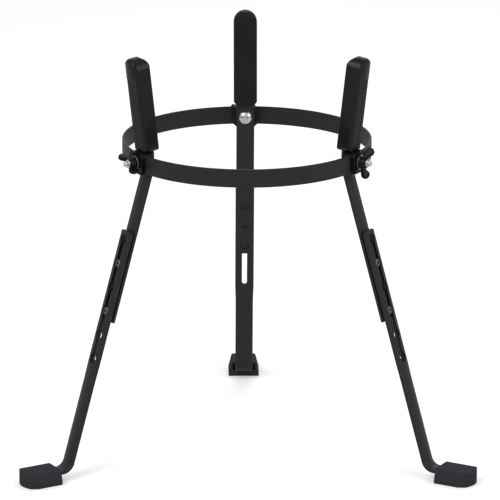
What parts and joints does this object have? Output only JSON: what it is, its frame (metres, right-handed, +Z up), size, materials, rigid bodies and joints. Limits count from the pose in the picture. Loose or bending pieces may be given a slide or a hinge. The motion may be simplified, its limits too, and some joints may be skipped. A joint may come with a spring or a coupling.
{
  "type": "conga stand",
  "caption": "Free-standing drum stand: a flat steel ring on splayed telescoping legs, with upright rubber pads that grip a conga and clamps closed by wing nuts.",
  "frame": {"origin": "on the floor, under the middle of the part's bounding box", "axes": "+Z up, +Y towards the rear leg, +X towards the right leg; +X is across the stand's plane of symmetry"},
  "size_m": [0.618, 0.5402, 0.5756],
  "materials": {
    "powder_coated_steel": "satin black powder coat",
    "pad_rubber": "matt black moulded rubber",
    "foot_rubber": "matt dark grey moulded rubber",
    "clamp_plastic": "gloss black moulded nylon",
    "nickel_plate": "bright nickel plate",
    "dark_zinc": "black zinc plate"
  },
  "bodies": {
    "frame": {"ring": "powder_coated_steel", "rear_upper_leg": "powder_coated_steel", "rear_pad": "pad_rubber", "rear_clamp_block": "clamp_plastic", "rear_clamp_plate": "clamp_plastic", "rear_carriage_bolt": "nickel_plate", "rear_washer": "dark_zinc", "rear_upper_clamp_screw": "dark_zinc", "rear_upper_clamp_nut": "dark_zinc", "rear_lower_clamp_screw": "dark_zinc", "rear_lower_clamp_nut": "dark_zinc", "left_upper_leg": "powder_coated_steel", "left_pad": "pad_rubber", "left_clamp_block": "clamp_plastic", "left_clamp_plate": "clamp_plastic", "left_carriage_bolt": "nickel_plate", "left_washer": "dark_zinc", "left_upper_clamp_screw": "dark_zinc", "left_upper_clamp_nut": "dark_zinc", "left_lower_clamp_screw": "dark_zinc", "left_lower_clamp_nut": "dark_zinc", "right_upper_leg": "powder_coated_steel", "right_pad": "pad_rubber", "right_clamp_block": "clamp_plastic", "right_clamp_plate": "clamp_plastic", "right_carriage_bolt": "nickel_plate", "right_washer": "dark_zinc", "right_upper_clamp_screw": "dark_zinc", "right_upper_clamp_nut": "dark_zinc", "right_lower_clamp_screw": "dark_zinc", "right_lower_clamp_nut": "dark_zinc"},
    "rear_extension": {"rear_lower_leg": "powder_coated_steel", "rear_foot": "foot_rubber"},
    "left_extension": {"left_lower_leg": "powder_coated_steel", "left_foot": "foot_rubber"},
    "right_extension": {"right_lower_leg": "powder_coated_steel", "right_foot": "foot_rubber"},
    "rear_wing": {"rear_wing_nut": "clamp_plastic", "rear_wing_nut_insert": "nickel_plate"},
    "left_wing": {"left_wing_nut": "clamp_plastic", "left_wing_nut_insert": "nickel_plate"},
    "right_wing": {"right_wing_nut": "clamp_plastic", "right_wing_nut_insert": "nickel_plate"}
  },
  "joints": [
    {"name": "rear_leg_slide", "type": "slide", "parent": "frame", "child": "rear_extension", "axis": [0, -0.2894, 0.9572], "range_m": [0, 0.0667]},
    {"name": "left_leg_slide", "type": "slide", "parent": "frame", "child": "left_extension", "axis": [0.2506, 0.1447, 0.9572], "range_m": [0, 0.0667]},
    {"name": "right_leg_slide", "type": "slide", "parent": "frame", "child": "right_extension", "axis": [-0.2506, 0.1447, 0.9572], "range_m": [0, 0.0667]},
    {"name": "rear_wing_turn", "type": "hinge", "parent": "frame", "child": "rear_wing", "pos_m": [0, 0.09811, 0.42701], "axis": [0, 1, 0], "continuous": true},
    {"name": "left_wing_turn", "type": "hinge", "parent": "frame", "child": "left_wing", "pos_m": [-0.15588, -0.17189, 0.42701], "axis": [-0.866, -0.5, 0], "continuous": true},
    {"name": "right_wing_turn", "type": "hinge", "parent": "frame", "child": "right_wing", "pos_m": [0.15588, -0.17189, 0.42701], "axis": [0.866, -0.5, 0], "continuous": true}
  ]
}
